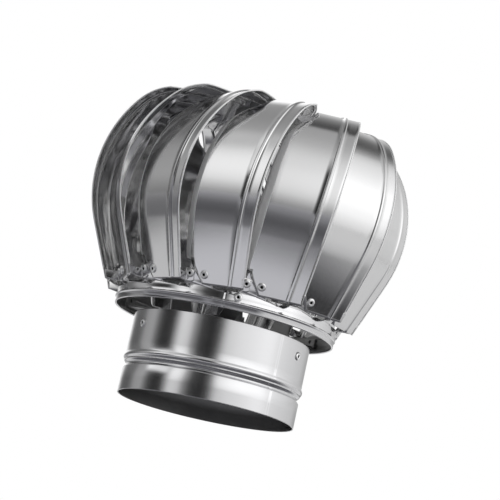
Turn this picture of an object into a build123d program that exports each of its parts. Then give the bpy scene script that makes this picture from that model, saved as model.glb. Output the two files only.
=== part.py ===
from build123d import *
from math import cos, radians, sin, sqrt, tan
import os

# A rotating chimney cowl: a ball of curved vanes that turns on a fixed spindle above a flue neck.
# Lengths are in millimetres and angles in degrees. +Z is up, and the origin is at the centre of
# the neck's lower rim. The front of the object faces -Y.

# Neck
neck_radius = 75.0
neck_wall = 0.8
neck_height = 68.0
groove_height = 23.8
groove_half_width = 3.2
groove_depth = 2.2
bead_half_width = 3.4
bead_rise = 1.3

# Support spider inside the neck
spider_arm_count = 3
support_sheet = 2.0
support_floor = 48.0
support_hub_radius = 20.0
support_arm_width = 16.0
support_foot_height = 15.0
support_first_angle = -150.0
support_rivet_height = 55.8

# Spindle and its fasteners
spindle_radius = 5.0
spindle_tail = 12.0
collar_radius = 9.0
collar_height = 5.0
shoulder_radius = 6.5
shoulder_height = 6.0
washer_radius = 10.0
washer_sheet = 1.6
nut_flats = 17.0
nut_height = 8.0
lock_washer_radius = 7.4
lock_washer_sheet = 1.0
lock_nut_flats = 14.0
lock_nut_height = 6.0

# Bottom ring of the ball
ring_radius = 93.5
ring_sheet = 0.8
ring_base = 73.0
ring_height = 14.5
hem_height = 4.0
ring_bead_height = 78.8
ring_bead_half_width = 1.4
ring_bead_rise = 0.9

# Vanes: a sheet strip rolled to a meridian and pressed with a rib near its proud edge
vane_count = 13
first_vane_angle = -114.0
vane_sheet = 0.6
vane_foot_rise = 0.5
vane_foot_step = 0.2
vane_lean = 22.7
meridian_radius = 99.0
meridian_height = 172.0
crown_start = 43.4
crown_radius = 48.0
crown_land = 30.0
proud_slant = 6.2
inner_slant = 4.3
proud_edge = 61.3
inner_edge = 3.6
flange_depth = 10.0
flange_bend_radius = 5.0
rib_inset = 9.6
rib_width = 5.0
rib_rise = 1.2
rib_chamfer = 1.0

# A vane's lower corner, cut off between two points given as (distance along the strip, height)
corner_top = (5.2, 104.4)
corner_bottom = (15.5, 88.5)

# A vane's upper end, cut along points given as (depth beyond the crown's start, distance along)
shoulder_cut_height = 222.0
shoulder_cut = [(48.5, 13.0), (29.5, 36.0), (-18.5, 34.0)]
crown_edge = [(15.0, 74.0), (7.5, 69.2), (1.0, 66.5), (-6.0, 64.0), (-15.0, 60.0), (-30.0, 52.0)]

# Ring tabs, given as (height, left side, right side) from the twist up
tab_foot_height = 87.3
tab_levels = [(91.5, 0.8, 22.0), (101.0, 3.2, 22.0), (104.0, 4.0, 19.0)]

# Ear that turns in from a vane's proud side and is riveted to the next ring tab
ear_start = 50.2
ear_foot_left = 1.2
ear_foot_right = 8.2
ear_base = 88.5
ear_wall_top = 96.0
ear_foot_top = 99.6

# Rivets
rivet_height = 95.5
corner_rivet_along = 17.4
ear_rivet_along = 4.9
rivet_head_radius = 3.5
rivet_crown_radius = 2.2
rivet_head_rise = 1.1
rivet_eye_radius = 1.2
rivet_eye_depth = 1.6
rivet_shank_radius = 1.6
rivet_tail_radius = 2.3
rivet_tail_length = 1.4
rivet_slack = 0.05
drill_reach = 8.0

# Guide spider that keeps the ball upright on the spindle
guide_sheet = 1.5
guide_arm_width = 14.0
guide_hub_radius = 15.0
guide_foot_height = 8.5
guide_first_angle = -85.8
guide_rivet_height = 83.7
guide_seat = 0.5
bush_radius = 8.0
bush_flange_radius = 11.0
bush_flange_sheet = 2.0
bush_length = 14.0
bush_clearance = 0.05

# Top disc
disc_radius = 66.0
disc_sheet = 1.0
disc_hole_radius = 11.5
top_rivet_along = 42.0
top_rivet_inset = 22.1

# Ball bearing and its housing
bearing_outer_radius = 15.0
bearing_width = 9.0
inner_ring_radius = 8.0
outer_ring_bore = 12.4
ball_radius = 2.3
ball_play = 0.3
ball_count = 7
cage_inner_radius = 9.5
cage_outer_radius = 10.9
cage_half_height = 3.2
pocket_play = 0.12
housing_wall = 3.5
housing_flange_radius = 29.0
housing_flange_sheet = 3.0
clip_sheet = 1.0
clip_width = 2.2

# Cap over the bearing
cap_radius = 29.0
cap_sheet = 1.0
cap_dome_radius = 18.0
cap_dome_slope = 4.0
cap_rise = 6.5
screw_circle_radius = 24.0
screw_count = 3
screw_radius = 2.0
screw_head_radius = 3.6
screw_head_rise = 1.6
screw_first_angle = 30.0

# Sizes worked out from the ones above
vane_pitch = 360.0 / vane_count
lean_slope = tan(radians(vane_lean))
lean_share = cos(radians(vane_lean))
ring_top = ring_base + ring_height
vane_foot_height = ring_top + vane_foot_rise
vane_foot_depth = ring_radius + vane_foot_step
flank_top_height = meridian_height - meridian_radius * sin(radians(vane_lean))
flank_top_depth = vane_foot_depth + (flank_top_height - vane_foot_height) * lean_slope
meridian_depth = flank_top_depth - meridian_radius * lean_share
crown_depth = meridian_depth + (meridian_radius - crown_radius) * cos(radians(crown_start))
crown_top = meridian_height + (meridian_radius - crown_radius) * sin(radians(crown_start)) + crown_radius
top_rivet_depth = crown_depth - top_rivet_inset
disc_base = crown_top
disc_top = disc_base + disc_sheet
housing_lip_base = disc_base - housing_flange_sheet
bearing_base = housing_lip_base - bearing_width
bearing_middle = housing_lip_base - bearing_width / 2
ball_circle_radius = (inner_ring_radius + outer_ring_bore) / 2
guide_floor = ring_base + hem_height + guide_seat
support_top = support_floor + support_sheet
groove_low = groove_height - groove_half_width
groove_high = groove_height + groove_half_width
bead_height = groove_high + bead_half_width
bead_top = bead_height + bead_half_width


def radial_plane(angle, depth, height=0.0):
    """A plane facing outwards at an angle round the axis, with x along the ring and y up."""
    across, along = cos(radians(angle)), sin(radians(angle))
    origin = (depth * across, depth * along, height)
    return Plane(origin=origin, x_dir=(-along, across, 0), z_dir=(across, along, 0))


def flank_depth(height, inset=0.0):
    """Depth of the vanes' straight lower flank at a height, moved inwards from its outer face."""
    return vane_foot_depth + (height - vane_foot_height) * lean_slope - inset / lean_share


def flank_plane(angle, height, along=0.0):
    """A plane on the outer face of a flank, with x along the ring and y up the flank."""
    upright = radial_plane(angle, flank_depth(height), height)
    return upright * Location((along, 0, 0), (vane_lean, 0, 0))


def evenly(first_angle, count):
    """Angles of equal parts round the axis."""
    return [first_angle + 360 * number / count for number in range(count)]


def slanted_plane(along, slant):
    """The plane of a vane's long edge, which leans along the ring as it rises."""
    return Plane(origin=(0, along, meridian_height), z_dir=(0, 1, -tan(radians(slant))))


def turned(point, angle):
    """A point of a plan view, turned about the axis."""
    turn = radians(angle)
    return (point[0] * cos(turn) - point[1] * sin(turn), point[0] * sin(turn) + point[1] * cos(turn))


def finish(part, name):
    """Label a piece and write it to its own file."""
    part.label = name
    export_step(part, "parts/" + name + ".step")


def rivet_drill(face):
    """The bar of a rivet hole, which runs through the sheets at the origin of a plane."""
    with BuildPart() as drill:
        with BuildSketch(face):
            Circle(rivet_shank_radius)
        extrude(amount=drill_reach, both=True)
    return drill.part


def meridian_line(inset):
    """A vane's meridian in the XZ plane, moved inwards from its outer face."""
    flank_centre = (meridian_depth, meridian_height)
    flank = CenterArc(flank_centre, meridian_radius - inset, -vane_lean, vane_lean + crown_start)
    crown_centre = (crown_depth, crown_top - crown_radius)
    crown = CenterArc(crown_centre, crown_radius - inset, crown_start, 90 - crown_start)
    Line((flank_depth(vane_foot_height, inset), vane_foot_height), flank @ 0)
    Line(crown @ 1, (crown_depth - crown_land, crown_top - inset))


def meridian_body(outer_inset, inner_inset, first, last):
    """A band of the meridian drawn out along the strip between two slanted planes."""
    with BuildPart() as body:
        with BuildSketch(Plane.XZ):
            with BuildLine():
                meridian_line(outer_inset)
                meridian_line(inner_inset)
                foot = (flank_depth(vane_foot_height, outer_inset), vane_foot_height)
                Line(foot, (flank_depth(vane_foot_height, inner_inset), vane_foot_height))
                land_end = (crown_depth - crown_land, crown_top - outer_inset)
                Line(land_end, (crown_depth - crown_land, crown_top - inner_inset))
            make_face()
        extrude(amount=2 * proud_edge, both=True)
        split(bisect_by=first, keep=Keep.TOP)
        split(bisect_by=last, keep=Keep.BOTTOM)
    return body.part


os.makedirs("parts", exist_ok=True)

# Neck tube, rolled from sheet with a stop bead and a groove above the straight spigot
with BuildPart() as neck_tube:
    with BuildSketch(Plane.XZ):
        with BuildLine():
            for wall in (0, neck_wall):
                radius = neck_radius - wall
                Line((radius, 0), (radius, groove_low))
                groove_middle = (radius - groove_depth, groove_height)
                ThreePointArc((radius, groove_low), groove_middle, (radius, groove_high))
                ThreePointArc((radius, groove_high), (radius + bead_rise, bead_height), (radius, bead_top))
                Line((radius, bead_top), (radius, neck_height))
            Line((neck_radius, 0), (neck_radius - neck_wall, 0))
            Line((neck_radius, neck_height), (neck_radius - neck_wall, neck_height))
        make_face()
    revolve(axis=Axis.Z)
    for angle in evenly(support_first_angle, spider_arm_count):
        face = radial_plane(angle, neck_radius, support_rivet_height)
        add(rivet_drill(face), mode=Mode.SUBTRACT)
finish(neck_tube.part, "neck_tube")


def spider(floor, sheet, hub_radius, bore, arm_width, reach, foot_height, first_angle, rivet_place):
    """A pressed hub with arms whose feet are turned up against the inside of a tube."""
    with BuildPart() as piece:
        with BuildSketch(Plane.XY.offset(floor)):
            Circle(hub_radius)
            for angle in evenly(first_angle, spider_arm_count):
                with Locations(Location((0, 0, 0), (0, 0, angle))):
                    with Locations(((reach - sheet) / 2, 0)):
                        Rectangle(reach - sheet, arm_width)
            Circle(bore, mode=Mode.SUBTRACT)
        extrude(amount=sheet)
        for angle in evenly(first_angle, spider_arm_count):
            with BuildSketch(Plane.XY.offset(floor)):
                Circle(reach)
                Circle(reach - sheet, mode=Mode.SUBTRACT)
                with Locations(Location((0, 0, 0), (0, 0, angle))):
                    with Locations((reach, 0)):
                        Rectangle(reach, arm_width, mode=Mode.INTERSECT)
            extrude(amount=foot_height)
            add(rivet_drill(radial_plane(angle, reach, rivet_place)), mode=Mode.SUBTRACT)
    return piece.part


# Support spider, which carries the spindle in the neck
support_spider = spider(
    support_floor,
    support_sheet,
    support_hub_radius,
    spindle_radius,
    support_arm_width,
    neck_radius - neck_wall,
    support_foot_height,
    support_first_angle,
    support_rivet_height,
)
finish(support_spider, "support_spider")


def rivet_section(grip):
    """Half the section of a rivet, its shank running back from the sheet's face at height 0."""
    with BuildSketch(Plane.XZ) as section:
        with BuildLine():
            Polyline(
                (0, rivet_head_rise - rivet_eye_depth),
                (rivet_eye_radius, rivet_head_rise - rivet_eye_depth),
                (rivet_eye_radius, rivet_head_rise),
                (rivet_crown_radius, rivet_head_rise),
                (rivet_head_radius, 0),
                (rivet_shank_radius, 0),
                (rivet_shank_radius, -grip),
                (rivet_tail_radius, -grip),
                (rivet_tail_radius, -grip - rivet_tail_length),
                (0, -grip - rivet_tail_length),
                close=True,
            )
        make_face()
    return section.sketch


def rivet_group(planes, grip):
    """Equal rivets, each headed on one of the planes."""
    with BuildPart() as rivet:
        add(rivet_section(grip))
        revolve(axis=Axis.Z)
    with BuildPart() as group:
        with Locations(*planes):
            add(rivet.part)
    return group.part


neck_rivet_planes = []
for angle in evenly(support_first_angle, spider_arm_count):
    neck_rivet_planes.append(radial_plane(angle, neck_radius, support_rivet_height))
finish(rivet_group(neck_rivet_planes, neck_wall + support_sheet + rivet_slack), "neck_rivets")

# Vane, made once facing +X: a rolled strip with one long edge turned in, a rib and a riveting ear
past_edge = proud_edge + flange_depth


def rolled_edge(body):
    """The outer edge along a body's inner long side, which the sheet is bent round."""
    side = body.faces().filter_by(GeomType.PLANE).sort_by(Axis.Y)[0]
    return side.edges().sort_by(SortBy.LENGTH)[-1]


def ear_wall_section(height):
    """The ear's wall at a height, from the vane's own face across to the next ring tab."""
    middle = flank_depth(height, vane_sheet / 2)
    with BuildSketch(Plane.XY.offset(height)) as section:
        with BuildLine():
            Line((middle, ear_start), turned((middle, ear_foot_left), vane_pitch))
        trace(line_width=vane_sheet)
    return section.sketch


with BuildPart() as vane_hollow:
    hollow_side = slanted_plane(inner_edge + vane_sheet, inner_slant)
    hollow_end = slanted_plane(past_edge, proud_slant)
    add(meridian_body(vane_sheet, flange_depth + vane_sheet, hollow_side, hollow_end))
    fillet(rolled_edge(vane_hollow), radius=flange_bend_radius - vane_sheet)

with BuildPart() as rib:
    rib_left = slanted_plane(proud_edge - rib_inset - rib_width, proud_slant)
    rib_right = slanted_plane(proud_edge - rib_inset, proud_slant)
    add(meridian_body(-rib_rise, vane_sheet / 2, rib_left, rib_right))
    sides = rib.faces().filter_by(GeomType.PLANE).sort_by(Axis.Y)
    rims = [side.edges().sort_by(SortBy.LENGTH)[-1] for side in (sides[0], sides[-1])]
    chamfer(rims, length=rib_chamfer)

with BuildPart() as vane:
    inner_side = slanted_plane(inner_edge, inner_slant)
    proud_side = slanted_plane(proud_edge, proud_slant)
    add(meridian_body(0, flange_depth, inner_side, proud_side))
    fillet(rolled_edge(vane), radius=flange_bend_radius)
    add(vane_hollow.part, mode=Mode.SUBTRACT)
    add(rib.part)
    # Lower corner, cut off on a slant above the ring
    corner_run = corner_bottom[0] - corner_top[0]
    corner_rise = corner_top[1] - corner_bottom[1]
    with BuildSketch(radial_plane(0, vane_foot_depth - 2 * flange_depth)):
        with BuildLine():
            Polyline(
                (corner_top[0] - 2 * corner_run, corner_top[1] + 2 * corner_rise),
                corner_bottom,
                (corner_bottom[0], 0),
                (corner_top[0] - 2 * corner_run, 0),
                close=True,
            )
        make_face()
    extrude(amount=meridian_radius, mode=Mode.SUBTRACT)
    # Upper end, narrowed to a tab under the top disc
    shoulder_points = [(crown_depth + depth, along) for depth, along in shoulder_cut]
    edge_points = [(crown_depth + depth, along) for depth, along in crown_edge]
    with BuildSketch(Plane.XY.offset(shoulder_cut_height)):
        with BuildLine():
            Polyline(
                (shoulder_points[0][0], -flange_depth),
                *shoulder_points,
                (0, shoulder_points[-1][1]),
                (0, -flange_depth),
                close=True,
            )
        make_face()
        with BuildLine():
            Spline(*edge_points)
            Polyline(
                edge_points[-1],
                (0, edge_points[-1][1]),
                (0, past_edge + flange_depth),
                (edge_points[0][0], past_edge + flange_depth),
                edge_points[0],
            )
        make_face()
    extrude(amount=crown_top + flange_depth - shoulder_cut_height, mode=Mode.SUBTRACT)
    # Ear turned in from the proud side to the next ring tab
    loft([ear_wall_section(ear_base), ear_wall_section(ear_wall_top)])
    with BuildSketch(flank_plane(vane_pitch, ear_base)):
        with Locations((ear_foot_left, 0)):
            Rectangle(
                ear_foot_right - ear_foot_left,
                (ear_foot_top - ear_base) / lean_share,
                align=(Align.MIN, Align.MIN),
            )
    extrude(amount=-vane_sheet)
    # Rivet holes
    add(rivet_drill(flank_plane(0, rivet_height, corner_rivet_along)), mode=Mode.SUBTRACT)
    add(rivet_drill(flank_plane(vane_pitch, rivet_height, ear_rivet_along)), mode=Mode.SUBTRACT)
    top_hole = Plane(origin=(top_rivet_depth, top_rivet_along, crown_top))
    add(rivet_drill(top_hole), mode=Mode.SUBTRACT)

for number in range(vane_count):
    with BuildPart() as placed:
        add(vane.part, rotation=(0, 0, first_vane_angle + vane_pitch * number))
    finish(placed.part, "vane_" + str(number + 1).zfill(2))

# Bottom ring: a band with a folded hem and a bead, and a tab for every vane
with BuildPart() as ring_tab:
    tab_left, tab_right = tab_levels[0][1:]
    with BuildSketch(Plane.XY.offset(tab_foot_height)):
        with BuildLine():
            ring_inner = ring_radius - ring_sheet
            Polyline(
                (sqrt(ring_inner**2 - tab_left**2), tab_left),
                (sqrt(ring_radius**2 - tab_left**2), tab_left),
                (sqrt(ring_radius**2 - tab_right**2), tab_right),
                (sqrt(ring_inner**2 - tab_right**2), tab_right),
                close=True,
            )
        make_face()
    for height, left, right in tab_levels:
        outer, inner = flank_depth(height, vane_sheet), flank_depth(height, vane_sheet + ring_sheet)
        with BuildSketch(Plane.XY.offset(height)):
            with BuildLine():
                Polyline((inner, left), (outer, left), (outer, right), (inner, right), close=True)
            make_face()
    loft(ruled=True)
    for along in (corner_rivet_along, ear_rivet_along):
        add(rivet_drill(flank_plane(0, rivet_height, along)), mode=Mode.SUBTRACT)

with BuildPart() as bottom_ring:
    with BuildSketch(Plane.XZ):
        with BuildLine():
            hem_inner = ring_inner - ring_sheet
            bead_foot = (ring_radius, ring_bead_height - ring_bead_half_width)
            bead_head = (ring_radius, ring_bead_height + ring_bead_half_width)
            Line((ring_radius, ring_base), bead_foot)
            ThreePointArc(bead_foot, (ring_radius + ring_bead_rise, ring_bead_height), bead_head)
            Polyline(
                bead_head,
                (ring_radius, ring_top),
                (ring_inner, ring_top),
                (ring_inner, ring_base + hem_height),
                (hem_inner, ring_base + hem_height),
                (hem_inner, ring_base),
                (ring_radius, ring_base),
            )
        make_face()
    revolve(axis=Axis.Z)
    for angle in evenly(first_vane_angle, vane_count):
        add(ring_tab.part, rotation=(0, 0, angle))
    for angle in evenly(guide_first_angle, spider_arm_count):
        face = radial_plane(angle, ring_radius, guide_rivet_height)
        add(rivet_drill(face), mode=Mode.SUBTRACT)
finish(bottom_ring.part, "bottom_ring")

corner_planes = []
ear_planes = []
top_planes = []
for angle in evenly(first_vane_angle, vane_count):
    corner_planes.append(flank_plane(angle, rivet_height, corner_rivet_along))
    ear_planes.append(flank_plane(angle, rivet_height, ear_rivet_along))
    across, along = turned((top_rivet_depth, top_rivet_along), angle)
    top_planes.append(Plane(origin=(across, along, disc_top)))
finish(rivet_group(corner_planes, vane_sheet + ring_sheet), "corner_rivets")
finish(rivet_group(ear_planes, vane_sheet + ring_sheet), "ear_rivets")
finish(rivet_group(top_planes, disc_sheet + vane_sheet), "top_rivets")

# Guide spider, which holds the ball's lower end round the spindle
guide_spider = spider(
    guide_floor,
    guide_sheet,
    guide_hub_radius,
    bush_radius,
    guide_arm_width,
    ring_radius - ring_sheet,
    guide_foot_height,
    guide_first_angle,
    guide_rivet_height,
)
finish(guide_spider, "guide_spider")

ring_rivet_planes = []
for angle in evenly(guide_first_angle, spider_arm_count):
    ring_rivet_planes.append(radial_plane(angle, ring_radius, guide_rivet_height))
finish(rivet_group(ring_rivet_planes, ring_sheet + guide_sheet + rivet_slack), "ring_rivets")

# Guide bush, a flanged sleeve in the guide spider's hub
with BuildPart() as guide_bush:
    with BuildSketch(Plane.XZ):
        with BuildLine():
            bush_bore = spindle_radius + bush_clearance
            Polyline(
                (bush_bore, guide_floor - bush_flange_sheet),
                (bush_flange_radius, guide_floor - bush_flange_sheet),
                (bush_flange_radius, guide_floor),
                (bush_radius, guide_floor),
                (bush_radius, guide_floor - bush_flange_sheet + bush_length),
                (bush_bore, guide_floor - bush_flange_sheet + bush_length),
                close=True,
            )
        make_face()
    revolve(axis=Axis.Z)
finish(guide_bush.part, "guide_bush")

# Spindle: a turned shaft with a collar on the support and a shoulder under the bearing
lock_washer_base = housing_lip_base
lock_nut_base = lock_washer_base + lock_washer_sheet
spindle_top = lock_nut_base + lock_nut_height + 1.0
with BuildPart() as spindle:
    with BuildSketch(Plane.XZ):
        with BuildLine():
            Polyline(
                (0, support_floor - spindle_tail),
                (spindle_radius, support_floor - spindle_tail),
                (spindle_radius, support_top),
                (collar_radius, support_top),
                (collar_radius, support_top + collar_height),
                (spindle_radius, support_top + collar_height),
                (spindle_radius, bearing_base - shoulder_height),
                (shoulder_radius, bearing_base - shoulder_height),
                (shoulder_radius, bearing_base),
                (spindle_radius, bearing_base),
                (spindle_radius, spindle_top),
                (0, spindle_top),
                close=True,
            )
        make_face()
    revolve(axis=Axis.Z)
finish(spindle.part, "spindle")


def ring_piece(inner, outer, base, height, name):
    """A plain ring or washer on the spindle's axis."""
    with BuildPart() as piece:
        with BuildSketch(Plane.XY.offset(base)):
            Circle(outer)
            Circle(inner, mode=Mode.SUBTRACT)
        extrude(amount=height)
    finish(piece.part, name)


def nut(flats, base, height, name):
    """A hexagonal nut on the spindle's axis."""
    with BuildPart() as piece:
        with BuildSketch(Plane.XY.offset(base)):
            RegularPolygon(flats / 2, 6, major_radius=False)
            Circle(spindle_radius, mode=Mode.SUBTRACT)
        extrude(amount=height)
    finish(piece.part, name)


washer_base = support_floor - washer_sheet
ring_piece(spindle_radius, washer_radius, washer_base, washer_sheet, "support_washer")
nut(nut_flats, washer_base - nut_height, nut_height, "support_nut")
ring_piece(spindle_radius, lock_washer_radius, lock_washer_base, lock_washer_sheet, "lock_washer")
nut(lock_nut_flats, lock_nut_base, lock_nut_height, "lock_nut")

# Ball bearing
groove_radius = ball_radius + ball_play
for inner, outer, name in (
    (spindle_radius, inner_ring_radius, "bearing_inner_ring"),
    (outer_ring_bore, bearing_outer_radius, "bearing_outer_ring"),
):
    with BuildPart() as race:
        with BuildSketch(Plane.XZ):
            with Locations(((inner + outer) / 2, bearing_middle)):
                Rectangle(outer - inner, bearing_width)
            with Locations((ball_circle_radius, bearing_middle)):
                Circle(groove_radius, mode=Mode.SUBTRACT)
        revolve(axis=Axis.Z)
    finish(race.part, name)

with BuildPart() as bearing_balls:
    with Locations((0, 0, bearing_middle)):
        with PolarLocations(ball_circle_radius, ball_count):
            Sphere(ball_radius)
finish(bearing_balls.part, "bearing_balls")

with BuildPart() as bearing_cage:
    with BuildSketch(Plane.XY.offset(bearing_middle)):
        Circle(cage_outer_radius)
        Circle(cage_inner_radius, mode=Mode.SUBTRACT)
    extrude(amount=cage_half_height, both=True)
    for angle in evenly(0, ball_count):
        with BuildSketch(radial_plane(angle, 0, bearing_middle)):
            Circle(ball_radius + pocket_play)
        extrude(amount=bearing_outer_radius, mode=Mode.SUBTRACT)
finish(bearing_cage.part, "bearing_cage")

# Bearing housing, a flanged cup screwed under the top disc
screw_places = []
for number in range(screw_count):
    screw_places.append(turned((screw_circle_radius, 0), screw_first_angle + 360 * number / screw_count))
housing_base = bearing_base - clip_sheet
with BuildPart() as bearing_housing:
    with BuildSketch(Plane.XZ):
        with BuildLine():
            housing_outer = bearing_outer_radius + housing_wall
            Polyline(
                (disc_hole_radius, disc_base),
                (housing_flange_radius, disc_base),
                (housing_flange_radius, housing_lip_base),
                (housing_outer, housing_lip_base),
                (housing_outer, housing_base),
                (bearing_outer_radius, housing_base),
                (bearing_outer_radius, housing_lip_base),
                (disc_hole_radius, housing_lip_base),
                close=True,
            )
        make_face()
    revolve(axis=Axis.Z)
    with Locations(*[(x, y, disc_base) for x, y in screw_places]):
        Hole(screw_radius, depth=2 * housing_flange_sheet)
finish(bearing_housing.part, "bearing_housing")
ring_piece(bearing_outer_radius - clip_width, bearing_outer_radius, housing_base, clip_sheet, "bearing_clip")

# Top disc
with BuildPart() as top_disc:
    with BuildSketch(Plane.XY.offset(disc_base)):
        Circle(disc_radius)
        Circle(disc_hole_radius, mode=Mode.SUBTRACT)
        for angle in evenly(first_vane_angle, vane_count):
            with Locations(turned((top_rivet_depth, top_rivet_along), angle)):
                Circle(rivet_shank_radius, mode=Mode.SUBTRACT)
        with Locations(*screw_places):
            Circle(screw_radius, mode=Mode.SUBTRACT)
    extrude(amount=disc_sheet)
finish(top_disc.part, "top_disc")

# Bearing cap, a pressed dome with a flat flange
with BuildPart() as bearing_cap:
    with BuildSketch(Plane.XZ):
        with BuildLine():
            cap_crown = disc_top + cap_rise
            cap_crown_radius = cap_dome_radius - cap_dome_slope
            Polyline(
                (cap_radius, disc_top),
                (cap_radius, disc_top + cap_sheet),
                (cap_dome_radius + cap_sheet, disc_top + cap_sheet),
                (cap_crown_radius + cap_sheet, cap_crown),
                (0, cap_crown),
                (0, cap_crown - cap_sheet),
                (cap_crown_radius, cap_crown - cap_sheet),
                (cap_dome_radius, disc_top),
                close=True,
            )
        make_face()
    revolve(axis=Axis.Z)
    with Locations(*[(x, y, disc_top + cap_sheet) for x, y in screw_places]):
        Hole(screw_radius, depth=2 * cap_sheet)
finish(bearing_cap.part, "bearing_cap")

# Screws through the cap, the disc and the housing flange
with BuildPart() as cap_screws:
    with Locations(*[(x, y, disc_top + cap_sheet) for x, y in screw_places]):
        Cylinder(screw_head_radius, screw_head_rise, align=(Align.CENTER, Align.CENTER, Align.MIN))
        Cylinder(
            screw_radius,
            cap_sheet + disc_sheet + housing_flange_sheet,
            align=(Align.CENTER, Align.CENTER, Align.MAX),
        )
finish(cap_screws.part, "cap_screws")
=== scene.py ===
from math import cos, pi, radians, sin, sqrt, tan

import bpy
from mathutils import Matrix, Vector


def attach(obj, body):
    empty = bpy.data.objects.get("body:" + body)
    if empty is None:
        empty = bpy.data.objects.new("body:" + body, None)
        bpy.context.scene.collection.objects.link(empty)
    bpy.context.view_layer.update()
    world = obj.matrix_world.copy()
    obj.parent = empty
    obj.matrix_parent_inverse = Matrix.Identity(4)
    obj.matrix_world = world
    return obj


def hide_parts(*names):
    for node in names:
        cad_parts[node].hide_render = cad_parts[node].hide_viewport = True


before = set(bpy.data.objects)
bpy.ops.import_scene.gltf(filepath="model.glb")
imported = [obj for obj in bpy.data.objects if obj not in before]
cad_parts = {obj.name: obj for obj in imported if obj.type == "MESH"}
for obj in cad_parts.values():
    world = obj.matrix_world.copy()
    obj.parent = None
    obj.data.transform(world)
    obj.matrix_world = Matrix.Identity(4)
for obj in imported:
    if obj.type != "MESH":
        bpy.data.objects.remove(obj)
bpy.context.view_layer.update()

# A rotating chimney cowl in polished stainless sheet, seen from a little below.
# Lengths are in metres and angles in degrees, except in the tables that say otherwise. An azimuth of 0
# faces -Y, the front, and grows to the right. A vane's own frame has its depth outwards, its along to
# the right and its height up.
MM = 0.001

# Vane meridian: a leaning flank, an arc, a tighter crown and a level land on the top disc
VANE_COUNT = 13
VANE_PITCH = 360 / VANE_COUNT
FIRST_AZIMUTH = -24.0
VANE_AZIMUTHS = [FIRST_AZIMUTH + VANE_PITCH * number for number in range(VANE_COUNT)]
VANE_SHEET = 0.6 * MM
FOOT_DEPTH = 93.7 * MM
FOOT_BASE = 88.0 * MM
LEAN = 22.7
ARC_RADIUS = 99.0 * MM
ARC_HEIGHT = 172.0 * MM
CROWN_START = 43.4
CROWN_RADIUS = 48.0 * MM
CROWN_LAND = 30.0 * MM
FLANK_STEPS = 28
ARC_STEPS = 80
CROWN_STEPS = 40
LAND_STEPS = 12

# Vane edges. The tables are in millimetres: the place of the proud edge by depth past the crown's
# centre, and the place of the flat's left edge, the flange's depth and the margin's width by height
EDGE_SLANT = 6.2
PROUD_EDGE = 61.3 * MM
CROWN_EDGE = [(-30, 52.0), (-15, 60.0), (-6, 64.0), (1, 66.5), (7.5, 69.2), (15, 74.0)]
FLAT_LEFT = [
    (87, 16.5),
    (88.5, 15.5),
    (104.4, 5.2),
    (120, 5.0),
    (135, 6.0),
    (159, 7.2),
    (175, 8.7),
    (193, 10.4),
    (213, 13.8),
    (220.6, 15.4),
    (226, 17.3),
    (230, 19.5),
    (237, 24.8),
    (242, 31.6),
    (246, 34.8),
    (250, 35.3),
    (255, 34.0),
]
FLANGE_DEPTHS = [(104, 10.0), (222, 10.0), (242, 4.5), (250, 1.2), (255, 0.8)]
MARGIN_WIDTHS = [(104, 4.5), (120, 6.5), (213, 6.5), (226, 5.0), (242, 2.5), (250, 0.8), (255, 0.5)]
CORNER_TOP = 104.4 * MM

# Margin that slopes from the flat to the flange. Its bends and its straight are shares of its width
MARGIN_SLOPE = 30.0
MARGIN_FIRST_BEND = 0.34
MARGIN_STRAIGHT = 0.66
MARGIN_LAST_BEND = 0.50
FIRST_BEND_STEPS = 4
LAST_BEND_STEPS = 6

# Strips across a vane, from its flange to its proud edge, with the pressed rib and the edge's hem.
# The flange and the margin are the strips before the margin's end
FLANGE_STEPS = 4
MARGIN_END = FLANGE_STEPS + FIRST_BEND_STEPS + 1 + LAST_BEND_STEPS
FLAT_STEPS = 10
RIB_STEPS = 14
EDGE_STEPS = 4
RIB_INSET = 12.1 * MM
RIB_HALF_WIDTH = 1.9 * MM
RIB_RISE = 1.0 * MM
RIB_STEEPNESS = 1.6
HEM_RADIUS = 0.6 * MM
HEM_INSET = 0.3 * MM
HEM_SIDES = 10

# Ear, folded back from the proud edge: a wall to the next vane's tab and a foot on that tab, with a
# rounded end. The shares place the points along the wall and the foot
EAR_BASE = 88.5 * MM
EAR_WALL_TOP = 96.0 * MM
EAR_FOOT_TOP = 99.6 * MM
EAR_FOOT_LEFT = 1.2 * MM
EAR_FOOT_RIGHT = 8.2 * MM
EAR_LAP = 1.0 * MM
EAR_WALL_SHARES = (0.0, 0.1, 0.3, 0.5, 0.7, 0.88, 0.96)
EAR_FOOT_SHARES = (0.04, 0.12, 0.35, 0.6, 0.8, 0.93, 1.0)
EAR_POINTS = len(EAR_WALL_SHARES) + len(EAR_FOOT_SHARES)
EAR_LEVELS = 8
EAR_ROUND_POINTS = 3
EAR_ROUNDING = 1.4 * MM

# Neck, with a groove, a stop bead and the seam of its rolled sheet
NECK_RADIUS = 75.0 * MM
NECK_TOP = 68.0 * MM
NECK_WALL = 0.8 * MM
NECK_EDGE_ROW = 0.5 * MM
NECK_LOWER_ROWS = [0.0, NECK_EDGE_ROW, 10.0 * MM]
NECK_UPPER_ROWS = [40.0 * MM, 50.0 * MM, 60.0 * MM, NECK_TOP - NECK_EDGE_ROW, NECK_TOP]
GROOVE_HEIGHT = 23.8 * MM
GROOVE_HALF = 3.2 * MM
GROOVE_DEPTH = 2.2 * MM
BEAD_HEIGHT = 30.4 * MM
BEAD_HALF = 3.4 * MM
BEAD_RISE = 1.3 * MM
NECK_SEAM_AZIMUTH = 41.0
NECK_SEAM_RISE = 0.35 * MM
NECK_SEAM_FADE = 14.0

# Rolled sheets: the strips round them and across their beads, how round a bead is, how far past its
# seam a sheet starts, and the angle that the step between its two ends takes
TURN_STEPS = 360
BULGE_STEPS = 12
BULGE_POWER = 1.5
SEAM_START = 0.15
SEAM_STEP = 0.2

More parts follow.
